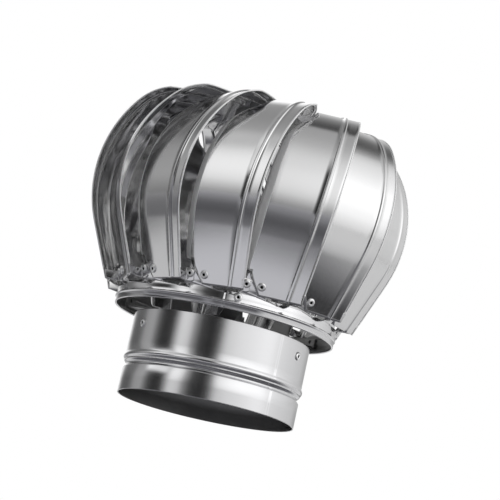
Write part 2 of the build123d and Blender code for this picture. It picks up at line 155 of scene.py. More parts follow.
# Bottom ring: a band with a folded hem at its foot, a bead over it and a broken edge at its top
RING_SHEET = 0.8 * MM
RING_RADIUS = 93.5 * MM
RING_BASE = 73.0 * MM
RING_TOP = 87.5 * MM
RING_BAND_ROW = 83.0 * MM
FOLD_TOP = 77.0 * MM
FOLD_LIP = 0.2 * MM
FOLD_RISE = 0.7 * MM
FOLD_STEPS = 12
RING_BEAD = 78.8 * MM
RING_BEAD_HALF = 1.4 * MM
RING_BEAD_RISE = 0.9 * MM
RING_EDGE_DROP = 0.3 * MM
RING_EDGE_OUTER = 0.15 * MM
RING_EDGE_INNER = 0.1 * MM
RING_INSIDE_STRIPS = 3
RING_SEAM_AZIMUTH = -2.5
RING_SEAM_RISE = 0.3 * MM
RING_SEAM_FADE = 12.0

# Tabs of the ring: each flares from the band, bends from round to flat, and has a rounded corner
TAB_LEFT = 0.8 * MM
TAB_LEFT_AT_TOP = 4.0 * MM
TAB_RIGHT = 22.0 * MM
TAB_TOP = 104.0 * MM
TAB_ROWS = [
    height * MM
    for height in (85.5, 86.5, 87.5, 88.5, 89.5, 90.5, 91.5, 93, 95, 97, 99, 101, 102.2, 103.2, 103.8, 104)
]
TAB_STEPS = 16
TAB_LAP = 0.1 * MM
TAB_BEND_BASE = 86.0 * MM
TAB_BEND_HEIGHT = 5.5 * MM
TAB_FLARE = 2.5 * MM
TAB_FLARE_BASE = 86.5 * MM
TAB_FLARE_HEIGHT = 4.0 * MM
TAB_CORNER = 3.0 * MM

# Rivets. The profile is in millimetres, as (radius, rise), from the hollow eye to the head's rim
RIVET_PROFILE = [
    (0.0, 0.25),
    (1.08, 0.25),
    (1.2, 0.9),
    (1.35, 1.12),
    (1.7, 1.27),
    (2.1, 1.3),
    (2.6, 1.2),
    (3.0, 0.98),
    (3.3, 0.68),
    (3.5, 0.35),
    (3.6, 0.0),
    (3.5, -0.2),
]
RIVET_EYE_STRIPS = 2
RIVET_SIDES = 40
VANE_RIVET_HEIGHT = 95.5 * MM
CORNER_RIVET_ALONG = 17.4 * MM
EAR_RIVET_ALONG = 4.9 * MM
RING_RIVET_HEIGHT = 83.7 * MM
RING_RIVET_AZIMUTHS = [4.2, 124.2, 244.2]
NECK_RIVET_HEIGHT = 55.8 * MM
NECK_RIVET_AZIMUTHS = [60.0, 180.0, 300.0]

# Finishes: which way the grain is stretched, how fine and deep it is and how far it darkens, and the
# broad buckles of thin sheet
EVEN_GRAIN = (1.0, 1.0, 1.0)
UP_GRAIN = (1.0, 1.0, 0.15)
ROUND_GRAIN = (0.2, 0.2, 2.0)
GRAIN_DETAIL = 4.0
GRAIN_BUMP = 0.02
GRAIN_DEPTH = 0.5 * MM
GRAIN_SHADE = 0.94
BUCKLE_SCALE = 26.0
BUCKLE_DETAIL = 1.0
BUCKLE_DEPTH = 2.4 * MM

# Studio walls: their tone by elevation, and the share of it that dark cards leave by azimuth. The low
# row of cards gives way to the high row over the blend's elevations
SKY_TONES = [
    (-90, 0.5),
    (-2, 0.42),
    (0, 0.52),
    (5, 0.82),
    (11, 1.18),
    (17, 1.34),
    (23, 1.40),
    (30, 1.38),
    (36, 1.30),
    (42, 1.18),
    (50, 0.98),
    (58, 0.76),
    (66, 0.60),
    (75, 0.50),
    (90, 0.40),
]
LOW_CARDS = [
    (-180, 0.9),
    (-168, 1.0),
    (-158, 0.6),
    (-150, 0.22),
    (-140, 0.14),
    (-120, 0.15),
    (-112, 0.28),
    (-98, 0.34),
    (-93, 0.25),
    (-86, 0.09),
    (-78, 0.03),
    (-66, 0.04),
    (-60, 0.36),
    (-54, 0.84),
    (-48, 0.88),
    (-41, 0.76),
    (-35, 0.32),
    (-26, 0.06),
    (-12, 0.02),
    (-4, 0.08),
    (0, 0.25),
    (5, 0.62),
    (10, 0.84),
    (24, 1.0),
    (40, 1.08),
    (70, 1.06),
    (84, 0.86),
    (108, 0.72),
    (132, 0.58),
    (156, 0.45),
    (180, 0.5),
]
HIGH_CARDS = [
    (-180, 0.5),
    (-140, 0.6),
    (-55, 0.6),
    (0, 0.9),
    (12, 1.0),
    (80, 1.1),
    (96, 1.0),
    (110, 0.6),
    (120, 0.25),
    (130, 0.12),
    (150, 0.2),
    (180, 0.5),
]
CARD_BLEND = [(40, 0.0), (58, 1.0)]

# Glows added to the walls, each by azimuth and elevation
GLOWS = [
    (
        [(-128, 0.0), (-114, 0.12), (-100, 0.12), (-92, 0.0)],
        [(-4, 1.0), (8, 1.0), (14, 0.4), (20, 0.0)],
    ),
    (
        [(40, 0.0), (60, 0.36), (140, 0.40), (160, 0.0)],
        [(-6, 1.0), (1, 1.0), (8, 0.4), (14, 0.0)],
    ),
    (
        [(-100, 0.0), (-93, 1.0), (-66, 1.0), (-60, 0.2), (-54, 0.0)],
        [(17, 0.0), (24, 1.0), (44, 0.7), (58, 0.0)],
    ),
]

# Floor: its tone by distance from the cowl's axis, dark near the axis as a painted shadow of the cowl, and
# the cards laid on it, one over another. Each has a tone, a sector by azimuth and rings by distance
FLOOR_REACH = 8.0
FLOOR_DROP = 80.0 * MM
FLOOR_GLOW = 0.13
FLOOR_ROUGHNESS = 0.9
FLOOR_TONES_WITH_PAINTED_SHADOW = [(0.0, (0.15, 0.15, 0.16)), (0.24, (0.2, 0.2, 0.22)), (0.34, (0.94, 0.94, 0.945))]
WHITE_TONE = (1.0, 1.0, 1.0)
COOL_TONE = (0.93, 0.93, 0.98)
GREY_TONE = (0.14, 0.14, 0.15)
DARK_TONE = (0.01, 0.01, 0.01)
FLOOR_CARDS = [
    (
        COOL_TONE,
        [(-96, 0.0), (-88, 1.0), (26, 1.0), (36, 0.0)],
        [(0.30, 0.0), (0.34, 1.0), (8.0, 1.0)],
    ),
    (
        WHITE_TONE,
        [(30, 0.0), (40, 1.0), (150, 1.0), (160, 0.0)],
        [(0.8, 0.0), (1.2, 1.0), (8.0, 1.0)],
    ),
    (
        GREY_TONE,
        [(-150, 0.6), (-128, 1.0), (-96, 1.0), (-88, 0.0)],
        [
            (0.70, 0.0),
            (0.75, 0.21),
            (0.78, 0.56),
            (0.81, 0.81),
            (0.88, 0.89),
            (1.9, 0.84),
            (3.4, 0.74),
            (8.0, 0.6),
        ],
    ),
    (
        GREY_TONE,
        [(-96, 0.0), (-88, 1.0), (-26, 1.0), (-14, 0.0)],
        [
            (0.43, 0.0),
            (0.45, 0.29),
            (0.465, 0.67),
            (0.504, 0.87),
            (0.84, 1.0),
            (1.28, 0.95),
            (2.3, 0.72),
            (8.0, 0.38),
        ],
    ),
    (
        GREY_TONE,
        [(-26, 0.0), (-14, 1.0), (28, 1.0), (38, 0.0)],
        [
            (0.385, 0.0),
            (0.40, 0.29),
            (0.412, 0.67),
            (0.455, 0.87),
            (0.73, 1.0),
            (1.03, 0.95),
            (1.75, 0.74),
            (8.0, 0.38),
        ],
    ),
    (
        GREY_TONE,
        [(28, 0.0), (38, 1.0), (90, 1.0), (104, 0.0)],
        [
            (0.38, 0.6),
            (0.43, 1.0),
            (0.475, 0.97),
            (0.49, 0.90),
            (0.52, 0.69),
            (0.55, 0.38),
            (0.69, 0.09),
            (0.9, 0.0),
        ],
    ),
    (
        DARK_TONE,
        [(46, 0.0), (54, 1.0), (84, 1.0), (94, 0.0)],
        [(0.39, 0.0), (0.40, 0.9), (0.45, 1.0), (0.47, 0.0)],
    ),
]

# Key light, a large soft lamp above and to the right
KEY_PLACE = Vector((2.0, -0.3, 2.1))
KEY_SIZE = (1.8, 1.4)
KEY_POWER = 1.2

# Camera, from a fit to the photograph: the aim's point lands on the aim's pixel
CAMERA_DISTANCE = 1.9
CAMERA_ELEVATION = -10.9227
CAMERA_ROLL = -12.3148
AIM = Vector((0, 0, 0.130))
AIM_PIXEL = (237.7907, 261.0533)
PIXELS_PER_METRE = 1183.2
FRAME_PIXELS = 500
SENSOR = 36.0


def between(points, value):
    """A value read from a short list of (place, value) pairs along a smooth curve."""
    if value <= points[0][0]:
        return points[0][1]
    for index in range(len(points) - 1):
        low, first = points[index]
        high, second = points[index + 1]
        if value <= high:
            before = points[max(index - 1, 0)]
            after = points[min(index + 2, len(points) - 1)]
            width = high - low
            start = (second - before[1]) / (high - before[0]) * width
            end = (after[1] - first) / (after[0] - low) * width
            t = (value - low) / width
            rise = (2 * t**3 - 3 * t**2 + 1) * first + (-2 * t**3 + 3 * t**2) * second
            return rise + (t**3 - 2 * t**2 + t) * start + (t**3 - t**2) * end
    return points[-1][1]


def eased(share):
    """A share between 0 and 1 that starts and ends gently."""
    share = min(max(share, 0.0), 1.0)
    return share * share * (3 - 2 * share)


def on_line(start, end, share):
    """The point at a share of the way from one pair of coordinates to another."""
    return tuple(a + (b - a) * share for a, b in zip(start, end))


def direction(azimuth):
    """Outwards and rightwards level directions at an azimuth."""
    turn = radians(azimuth)
    return Vector((sin(turn), -cos(turn), 0)), Vector((cos(turn), sin(turn), 0))


def tilted(outward, tilt):
    """An outward direction tilted upwards."""
    return outward * cos(radians(tilt)) + Vector((0, 0, sin(radians(tilt))))


def placed(azimuth, depth, along, height):
    """A point given in the frame of a vane that faces an azimuth."""
    outward, rightward = direction(azimuth)
    return outward * depth + rightward * along + Vector((0, 0, height))


def add_grid(points, faces, rows, closed=False):
    """Add a grid of rows of points to a mesh's lists. A closed one joins a row's end to its start."""
    first = len(points)
    width = len(rows[0])
    for row in rows:
        points.extend(row)
    for r in range(len(rows) - 1):
        for c in range(width if closed else width - 1):
            a = first + r * width + c
            b = first + r * width + (c + 1) % width
            faces.append((a, b, b + width, a + width))


def without_loose_points(points, faces):
    """The points that the faces use, and the faces renumbered to them."""
    used = sorted({index for face in faces for index in face})
    renumbered = {old: new for new, old in enumerate(used)}
    return [points[index] for index in used], [tuple(renumbered[i] for i in face) for face in faces]


def make_piece(name, points, faces, body, material, sheet=None):
    """A smooth mesh piece on a body, with a sheet's thickness inwards where one is given."""
    mesh = bpy.data.meshes.new(name)
    mesh.from_pydata([tuple(p) for p in points], [], faces)
    mesh.validate()
    mesh.shade_smooth()
    mesh.materials.append(material)
    piece = bpy.data.objects.new(name, mesh)
    bpy.context.scene.collection.objects.link(piece)
    if sheet:
        thickness = piece.modifiers.new("sheet", "SOLIDIFY")
        thickness.thickness = sheet
        thickness.offset = -1
        thickness.use_quality_normals = True
    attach(piece, body)
    return piece


def finish_inside(piece, finishes):
    """Finish a sheet's inner side: one finish for each that its outer side has."""
    piece.modifiers["sheet"].material_offset = len(piece.data.materials)
    for finish in finishes:
        piece.data.materials.append(finish)


# Node trees
def feed(tree, socket, value):
    """Give a socket a plain value, or link another node's output to it."""
    if isinstance(value, bpy.types.NodeSocket):
        tree.links.new(value, socket)
    else:
        socket.default_value = value


def maths(tree, operation, *values):
    """The result of a maths node on outputs or plain numbers."""
    node = tree.nodes.new("ShaderNodeMath")
    node.operation = operation
    for socket, value in zip(node.inputs, values):
        feed(tree, socket, value)
    return node.outputs["Value"]


def mixed(tree, kind, share, first, second):
    """A colour mixed, multiplied or added from two, by a share of the second."""
    node = tree.nodes.new("ShaderNodeMixRGB")
    node.blend_type = kind
    for socket, value in zip(node.inputs, (share, first, second)):
        feed(tree, socket, value)
    return node.outputs["Color"]


def noise(tree, place, scale, detail):
    """A noise texture's value between 0 and 1."""
    node = tree.nodes.new("ShaderNodeTexNoise")
    node.inputs["Scale"].default_value = scale
    node.inputs["Detail"].default_value = detail
    tree.links.new(place, node.inputs["Vector"])
    return node.outputs["Fac"]


def bump(tree, height, depth):
    """A bump node that raises a surface by up to a depth."""
    node = tree.nodes.new("ShaderNodeBump")
    node.inputs["Distance"].default_value = depth
    tree.links.new(height, node.inputs["Height"])
    return node


def ramp(tree, value, stops):
    """A tone read from a list of (place, tone) pairs between 0 and 1. A tone is a grey or a colour."""
    node = tree.nodes.new("ShaderNodeValToRGB")
    elements = node.color_ramp.elements
    while len(elements) < len(stops):
        elements.new(0.5)
    for element, (place, tone) in zip(elements, stops):
        element.position = place
        element.color = (*tone, 1) if isinstance(tone, tuple) else (tone, tone, tone, 1)
    tree.links.new(value, node.inputs["Fac"])
    return node.outputs["Color"]


def azimuth_ramp(tree, split, stops):
    """A tone read by the azimuth of a separated place."""
    turn = maths(tree, "ARCTAN2", split.outputs["X"], maths(tree, "MULTIPLY", split.outputs["Y"], -1))
    share = maths(tree, "MULTIPLY_ADD", turn, 1 / (2 * pi), 0.5)
    return ramp(tree, share, [((azimuth + 180) / 360, tone) for azimuth, tone in stops])


def elevation_ramp(tree, split, stops):
    """A tone read by the elevation of a separated direction."""
    share = maths(tree, "MULTIPLY_ADD", maths(tree, "ARCSINE", split.outputs["Z"]), 1 / pi, 0.5)
    return ramp(tree, share, [((elevation + 90) / 180, tone) for elevation, tone in stops])


def distance_ramp(tree, distance, stops):
    """A tone read by a distance on the floor."""
    share = maths(tree, "MULTIPLY", distance, 1 / FLOOR_REACH)
    return ramp(tree, share, [(place / FLOOR_REACH, tone) for place, tone in stops])


# Finishes
def steel(name, color, roughness, streak, scale, grain=EVEN_GRAIN, buckle=0.0, metal=1.0):
    """Polished or rolled sheet, with fine grain in its gloss and tone, and broad buckles if given."""
    material = bpy.data.materials.new(name)
    material.use_nodes = True
    tree = material.node_tree
    shader = tree.nodes["Principled BSDF"]
    shader.inputs["Metallic"].default_value = metal
    place = tree.nodes.new("ShaderNodeTexCoord")
    stretch = tree.nodes.new("ShaderNodeMapping")
    stretch.inputs["Scale"].default_value = grain
    tree.links.new(place.outputs["Object"], stretch.inputs["Vector"])
    fine = noise(tree, stretch.outputs["Vector"], scale, GRAIN_DETAIL)
    gloss = tree.nodes.new("ShaderNodeMapRange")
    gloss.inputs["To Min"].default_value = roughness - streak
    gloss.inputs["To Max"].default_value = roughness + streak
    tree.links.new(fine, gloss.inputs["Value"])
    tree.links.new(gloss.outputs["Result"], shader.inputs["Roughness"])
    shade = (*[part * GRAIN_SHADE for part in color], 1)
    tree.links.new(mixed(tree, "MIX", fine, shade, (*color, 1)), shader.inputs["Base Color"])
    uneven = bump(tree, fine, GRAIN_DEPTH)
    uneven.inputs["Strength"].default_value = GRAIN_BUMP
    if buckle:
        broad = noise(tree, place.outputs["Object"], BUCKLE_SCALE, BUCKLE_DETAIL)
        tree.links.new(bump(tree, broad, buckle).outputs["Normal"], uneven.inputs["Normal"])
    tree.links.new(uneven.outputs["Normal"], shader.inputs["Normal"])
    return material


vane_steel = steel(
    "vane_steel", (0.72, 0.72, 0.723), roughness=0.13, streak=0.03, scale=900.0, grain=UP_GRAIN
)
vane_inside = steel(
    "vane_inside",
    (0.76, 0.76, 0.76),
    roughness=0.10,
    streak=0.03,
    scale=900.0,
    grain=UP_GRAIN,
    buckle=BUCKLE_DEPTH,
)
# Hems: the real folded hem, in a near-white, half diffuse finish that paints a bright highlight line along
# each proud edge
hem_painted_highlight = steel("hem_painted_highlight", (0.98, 0.98, 0.98), roughness=0.30, streak=0.05, scale=900.0, metal=0.45)
# Margins: a near-white, mostly diffuse finish that paints the highlight along each vane's rolled left
# margin
margin_painted_highlight = steel("margin_painted_highlight", (0.97, 0.97, 0.97), roughness=0.32, streak=0.05, scale=900.0, metal=0.25)
neck_steel = steel(
    "neck_steel", (0.70, 0.70, 0.71), roughness=0.15, streak=0.05, scale=700.0, grain=ROUND_GRAIN
)
ring_steel = steel(
    "ring_steel", (0.72, 0.72, 0.73), roughness=0.12, streak=0.04, scale=700.0, grain=ROUND_GRAIN
)
rivet_steel = steel("rivet_steel", (0.90, 0.90, 0.90), roughness=0.30, streak=0.05, scale=1500.0)
# Rivet eyes: near black, a painted shade for the deep hole of each blind rivet
rivet_eye_painted_shade = steel("rivet_eye_painted_shade", (0.015, 0.015, 0.015), roughness=0.60, streak=0.05, scale=1500.0)
# Insides of the neck, ring and tabs: a steel tone darkened to paint the shade inside the cowl
inner_painted_shade = steel("inner_painted_shade", (0.30, 0.30, 0.30), roughness=0.34, streak=0.06, scale=800.0)
# Hidden inner pieces: the steel's own grey, darkened further as painted shade
plain_steel_painted_shade = steel("plain_steel_painted_shade", (0.38, 0.38, 0.38), roughness=0.36, streak=0.08, scale=800.0)
dark_steel = steel("dark_steel", (0.20, 0.20, 0.21), roughness=0.35, streak=0.08, scale=800.0)


# Vanes
def flank_depth(height, inset=0.0):
    """Depth of a vane's straight lower flank at a height, moved inwards from its outer face."""
    return FOOT_DEPTH + (height - FOOT_BASE) * tan(radians(LEAN)) - inset / cos(radians(LEAN))


arc_base = ARC_HEIGHT - ARC_RADIUS * sin(radians(LEAN))
arc_depth = flank_depth(arc_base) - ARC_RADIUS * cos(radians(LEAN))
crown_depth = arc_depth + (ARC_RADIUS - CROWN_RADIUS) * cos(radians(CROWN_START))
crown_height = ARC_HEIGHT + (ARC_RADIUS - CROWN_RADIUS) * sin(radians(CROWN_START))


def on_arc(centre_depth, centre_height, radius, tilt):
    """A place of a vane's meridian on an arc, where the arc's normal has a tilt."""
    turn = radians(tilt)
    return centre_depth + radius * cos(turn), centre_height + radius * sin(turn), tilt


def meridian():
    """Points up a vane's outer face: depth, height and the tilt of the face's normal above level."""
    places = []
    for i in range(FLANK_STEPS):
        height = FOOT_BASE + (arc_base - FOOT_BASE) * i / FLANK_STEPS
        places.append((flank_depth(height), height, -LEAN))
    for i in range(ARC_STEPS + 1):
        tilt = -LEAN + (CROWN_START + LEAN) * i / ARC_STEPS
        places.append(on_arc(arc_depth, ARC_HEIGHT, ARC_RADIUS, tilt))
    for i in range(1, CROWN_STEPS + 1):
        tilt = CROWN_START + (90 - CROWN_START) * i / CROWN_STEPS
        places.append(on_arc(crown_depth, crown_height, CROWN_RADIUS, tilt))
    for i in range(1, LAND_STEPS + 1):
        places.append((crown_depth - CROWN_LAND * i / LAND_STEPS, crown_height + CROWN_RADIUS, 90.0))
    return places


def proud_edge(depth, height):
    """How far along the strip a vane's proud edge is."""
    edge = PROUD_EDGE + (height - ARC_HEIGHT) * tan(radians(EDGE_SLANT))
    curved = between(CROWN_EDGE, (depth - crown_depth) / MM) * MM
    return min(edge, curved) if height > ARC_HEIGHT else edge


def margin_profile(width):
    """A vane's left margin from the flange to the flat, as (reach to the left, sunk inwards)."""
    slope = radians(MARGIN_SLOPE)
    first = width * MARGIN_FIRST_BEND
    last = width * MARGIN_LAST_BEND
    places = []
    for i in range(1, FIRST_BEND_STEPS + 1):
        turn = slope * i / FIRST_BEND_STEPS
        places.append((first * sin(turn), first * (1 - cos(turn))))
    reach, sunk = places[-1]
    reach += width * MARGIN_STRAIGHT * cos(slope)
    sunk += width * MARGIN_STRAIGHT * sin(slope)
    places.append((reach, sunk))
    for i in range(1, LAST_BEND_STEPS + 1):
        turn = slope + (pi / 2 - slope) * i / LAST_BEND_STEPS
        across = last * (sin(turn) - sin(slope))
        inwards = last * (cos(slope) - cos(turn))
        places.append((reach + across, sunk + inwards))
    return places[::-1]


def vane_section(depth, height):
    """Points across a vane from its flange's tip to its proud edge, as (along, sunk inwards)."""
    millimetres = height / MM
    left = between(FLAT_LEFT, millimetres) * MM
    right = proud_edge(depth, height)
    flange = between(FLANGE_DEPTHS, millimetres) * MM
    margin = margin_profile(between(MARGIN_WIDTHS, millimetres) * MM)
    reach, sunk = margin[0]
    section = []
    for i in range(FLANGE_STEPS):
        section.append((left - reach, flange - (flange - sunk) * i / FLANGE_STEPS))
    section += [(left - reach, sunk) for reach, sunk in margin]
    rib = right - RIB_INSET
    rib_left = rib - RIB_HALF_WIDTH
    rib_right = rib + RIB_HALF_WIDTH
    stops = [left + (rib_left - left) * i / FLAT_STEPS for i in range(FLAT_STEPS)]
    stops += [rib_left + (rib_right - rib_left) * i / RIB_STEPS for i in range(RIB_STEPS + 1)]
    stops += [rib_right + (right - rib_right) * i / EDGE_STEPS for i in range(1, EDGE_STEPS + 1)]
    for along in stops:
        off_rib = abs(along - rib) / RIB_HALF_WIDTH
        section.append((along, -RIB_RISE * eased((1 - off_rib) * RIB_STEEPNESS)))
    return section


def vane_rows(azimuth):
    """Rows of points across a vane's outer face, from its foot to the land's end."""
    outward, rightward = direction(azimuth)
    rows = []
    for depth, height, tilt in meridian():
        normal = tilted(outward, tilt)
        origin = outward * depth + Vector((0, 0, height))
        section = vane_section(depth, height)
        rows.append([origin + rightward * along - normal * sunk for along, sunk in section])
    return rows


def ear_path(height):
    """The ear's line in plan from the proud edge to its foot's end, as (depth, along)."""
    turn = radians(VANE_PITCH)
    middle = flank_depth(height)

    def on_tab(along):
        return middle * cos(turn) - along * sin(turn), middle * sin(turn) + along * cos(turn)

    start = (middle, proud_edge(middle, EAR_BASE) - EAR_LAP)
    corner = on_tab(EAR_FOOT_LEFT)
    end = on_tab(EAR_FOOT_RIGHT)
    wall = [on_line(start, corner, share) for share in EAR_WALL_SHARES]
    return wall + [on_line(corner, end, share) for share in EAR_FOOT_SHARES]


def ear_rows(azimuth):
    """Rows of points up an ear. The last points of its foot draw in to round its end."""
    rows = []
    for level in range(EAR_LEVELS + 1):
        row = []
        for index in range(EAR_POINTS):
            top = EAR_WALL_TOP if index < len(EAR_WALL_SHARES) else EAR_FOOT_TOP
            rounded = max(index + 1 - (EAR_POINTS - EAR_ROUND_POINTS), 0)
            drawn_in = rounded / EAR_ROUND_POINTS * EAR_ROUNDING
            height = EAR_BASE + drawn_in + (top - EAR_BASE - 2 * drawn_in) * level / EAR_LEVELS
            depth, along = ear_path(height)[index]
            row.append(placed(azimuth, depth, along, height))
        rows.append(row)
    return rows


def make_vane(number):
    """One vane: the rolled face without its lower left corner, and the ear."""
    azimuth = VANE_AZIMUTHS[number]
    heights = [height for depth, height, tilt in meridian()]
    rows = vane_rows(azimuth)
    width = len(rows[0])
    points = []
    faces = []
    strips = []
    for row in rows:
        points.extend(row)
    for r in range(len(rows) - 1):
        for c in range(width - 1):
            if c < MARGIN_END and heights[r] < CORNER_TOP:
                continue
            a = r * width + c
            faces.append((a, a + 1, a + 1 + width, a + width))
            strips.append(c)
    add_grid(points, faces, ear_rows(azimuth))
    points, faces = without_loose_points(points, faces)
    name = "vane_" + str(number + 1).zfill(2)
    skin = make_piece(name + "_skin", points, faces, "rotor", vane_steel, VANE_SHEET)
    # The margin strips take the near-white finish that paints their highlight
    skin.data.materials.append(margin_painted_highlight)
    finish_inside(skin, [vane_inside, vane_inside])
    for face, strip in zip(skin.data.polygons, strips):
        if FLANGE_STEPS <= strip < MARGIN_END:
            face.material_index = 1
    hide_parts(name)


def hem_rows(azimuth):
    """Rows of points round the thin hem on one vane's proud edge, from its ear's top to its end."""
    outward, rightward = direction(azimuth)
    rows = []
    for depth, height, tilt in meridian():
        if height < EAR_WALL_TOP:
            continue
        normal = tilted(outward, tilt)
        centre = outward * depth + Vector((0, 0, height)) - normal * VANE_SHEET / 2
        centre += rightward * (proud_edge(depth, height) - HEM_INSET)
        row = []
        for i in range(HEM_SIDES):
            turn = 2 * pi * i / HEM_SIDES
            row.append(centre + (normal * cos(turn) + rightward * sin(turn)) * HEM_RADIUS)
        rows.append(row)
    return rows


def make_hems():
    """The hems of all vanes as one piece, with closed ends, in a near-white finish that paints a highlight
    line along each proud edge.
    """
    points = []
    faces = []
    for azimuth in VANE_AZIMUTHS:
        first = len(points)
        add_grid(points, faces, hem_rows(azimuth), closed=True)
        last = len(points) - HEM_SIDES
        faces.append(tuple(range(first, first + HEM_SIDES)))
        faces.append(tuple(range(last + HEM_SIDES - 1, last - 1, -1)))
    make_piece("vane_hems", points, faces, "rotor", hem_painted_highlight)


# Neck and bottom ring
def bulge(radius, centre, half, rise):
    """A profile across a round bead, or across a groove where the rise is negative."""
    profile = []
    for i in range(BULGE_STEPS + 1):
        across = 2 * i / BULGE_STEPS - 1
        profile.append((radius + rise * cos(pi / 2 * across) ** BULGE_POWER, centre + half * across))
    return profile


def rolled_rows(profile, seam, rise, fade):
    """Rows of points round a rolled sheet. Its lapped end stands out at the seam and fades away."""
    rows = []
    for radius, height in profile:
        row = []
        for i in range(TURN_STEPS + 1):
            turn = SEAM_START + (360 - SEAM_STEP) * i / TURN_STEPS
            lap = rise * (1 - eased(turn / fade))
            row.append(placed(seam + turn, radius + lap, 0, height))
        rows.append(row)
    return rows


def make_neck():
    """The neck, with its inside darkened as painted shade."""
    profile = [(NECK_RADIUS, height) for height in NECK_LOWER_ROWS]
    profile += bulge(NECK_RADIUS, GROOVE_HEIGHT, GROOVE_HALF, -GROOVE_DEPTH)
    profile += bulge(NECK_RADIUS, BEAD_HEIGHT, BEAD_HALF, BEAD_RISE)
    profile += [(NECK_RADIUS, height) for height in NECK_UPPER_ROWS]
    rows = rolled_rows(profile, NECK_SEAM_AZIMUTH, NECK_SEAM_RISE, NECK_SEAM_FADE)
    points = []
    faces = []
    add_grid(points, faces, rows, closed=True)
    skin = make_piece("neck_skin", points, faces, "base", neck_steel, NECK_WALL)
    finish_inside(skin, [inner_painted_shade])
    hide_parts("neck_tube")


def ring_profile():
    """The ring's section: down the inside, round the folded hem and up the outside over the bead."""
    inner = RING_RADIUS - RING_SHEET
    fold_inner = inner - RING_SHEET
    middle = (RING_RADIUS + fold_inner) / 2
    half = (RING_RADIUS - fold_inner) / 2
    profile = [(inner, RING_TOP), (inner, FOLD_TOP + FOLD_LIP), (fold_inner, FOLD_TOP)]
    for i in range(FOLD_STEPS + 1):
        turn = pi * i / FOLD_STEPS
        profile.append((middle - half * cos(turn), RING_BASE + FOLD_RISE * (1 - sin(turn))))
    profile += bulge(RING_RADIUS, RING_BEAD, RING_BEAD_HALF, RING_BEAD_RISE)
    profile += [(RING_RADIUS, RING_BAND_ROW), (RING_RADIUS, RING_TOP - RING_EDGE_DROP)]
    return profile + [(RING_RADIUS - RING_EDGE_OUTER, RING_TOP), (inner + RING_EDGE_INNER, RING_TOP)]


def make_ring():
    """The bottom ring's band, with its inside darkened as painted shade."""
    points = []
    faces = []
    rows = rolled_rows(ring_profile(), RING_SEAM_AZIMUTH, RING_SEAM_RISE, RING_SEAM_FADE)
    add_grid(points, faces, rows, closed=True)
    skin = make_piece("ring_skin", points, faces, "rotor", ring_steel)
    skin.data.materials.append(inner_painted_shade)
    for index, face in enumerate(skin.data.polygons):
        if index // len(rows[0]) < RING_INSIDE_STRIPS:
            face.material_index = 1
    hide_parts("bottom_ring")


def tab_rows(azimuth):
    """A tab's outer face, which rises from the round band and turns flat for its vane."""
    rows = []
    bend_top = TAB_BEND_BASE + TAB_BEND_HEIGHT
    for height in TAB_ROWS:
        flat = flank_depth(height, VANE_SHEET)
        bent = eased((height - TAB_BEND_BASE) / TAB_BEND_HEIGHT)
        flare = TAB_FLARE * (1 - eased((height - TAB_FLARE_BASE) / TAB_FLARE_HEIGHT))
        narrowed = (TAB_LEFT_AT_TOP - TAB_LEFT) * max(height - bend_top, 0) / (TAB_TOP - bend_top)
        into_corner = max(height - (TAB_TOP - TAB_CORNER), 0)
        corner = TAB_CORNER - sqrt(max(TAB_CORNER**2 - into_corner**2, 0))
        left = TAB_LEFT + narrowed - flare
        right = TAB_RIGHT + flare - corner
        row = []
        for i in range(TAB_STEPS + 1):
            along = left + (right - left) * i / TAB_STEPS
            band = sqrt(RING_RADIUS**2 - along**2) - TAB_LAP
            row.append(placed(azimuth, band + (flat - band) * bent, along, height))
        rows.append(row)
    return rows


def make_tabs():
    """The ring's tabs, one under each vane."""
    points = []
    faces = []
    for azimuth in VANE_AZIMUTHS:
        add_grid(points, faces, tab_rows(azimuth))
    tabs = make_piece("ring_tabs", points, faces, "rotor", ring_steel, RING_SHEET)
    # The tabs' inner sides are darkened as painted shade
    finish_inside(tabs, [inner_painted_shade])
    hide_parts("bottom_ring")


# Rivets
def vane_rivet_places(along):
    """A place on each vane's flank, with the direction that it faces."""
    depth = flank_depth(VANE_RIVET_HEIGHT)
    places = []
    for azimuth in VANE_AZIMUTHS:
        facing = tilted(direction(azimuth)[0], -LEAN)
        places.append((placed(azimuth, depth, along, VANE_RIVET_HEIGHT), facing))
    return places


def round_rivet_places(azimuths, radius, height):
    """Places round the ring or the neck, with the direction that each faces."""
    return [(placed(azimuth, radius, 0, height), direction(azimuth)[0]) for azimuth in azimuths]


def rivet_heads(name, node, body, places):
    """Domed blind rivet heads with a hollow eye painted near black as the hole's shade, each at a place
    and facing outwards.
    """
    points = []
    faces = []
    for place, outward in places:
        across = outward.cross(Vector((0, 0, 1))).normalized()
        upward = across.cross(outward)
        rows = []
        for radius, rise in RIVET_PROFILE:
            row = []
            for i in range(RIVET_SIDES):
                turn = 2 * pi * i / RIVET_SIDES
                spoke = across * cos(turn) + upward * sin(turn)
                row.append(place + outward * rise * MM + spoke * radius * MM)
            rows.append(row)
        add_grid(points, faces, rows, closed=True)
    heads = make_piece(name, points, faces, body, rivet_steel)
    heads.data.materials.append(rivet_eye_painted_shade)
    # The eye strips take the near-black painted shade
    for index, face in enumerate(heads.data.polygons):
        strip = index // RIVET_SIDES % (len(RIVET_PROFILE) - 1)
        if strip < RIVET_EYE_STRIPS:
            face.material_index = 1
    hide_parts(node)


# Pieces that are shown as they are
def plain_finish(node):
    """The finish of a piece that keeps its own shape."""
    if node in ("top_disc", "bearing_cap"):
        return ring_steel
    if node in ("guide_bush", "bearing_clip"):
        return dark_steel
    if node == "cap_screws" or node.endswith("rivets"):
        return rivet_steel
    # The remaining pieces, hidden inside the cowl, take the steel darkened as painted shade
    return plain_steel_painted_shade


def finish_plain_pieces():
    """Finish every piece but the vanes, which lie hidden under their skins."""
    for node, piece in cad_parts.items():
        if node.startswith("vane_"):
            continue
        for place in piece.material_slots:
            place.material = plain_finish(node)


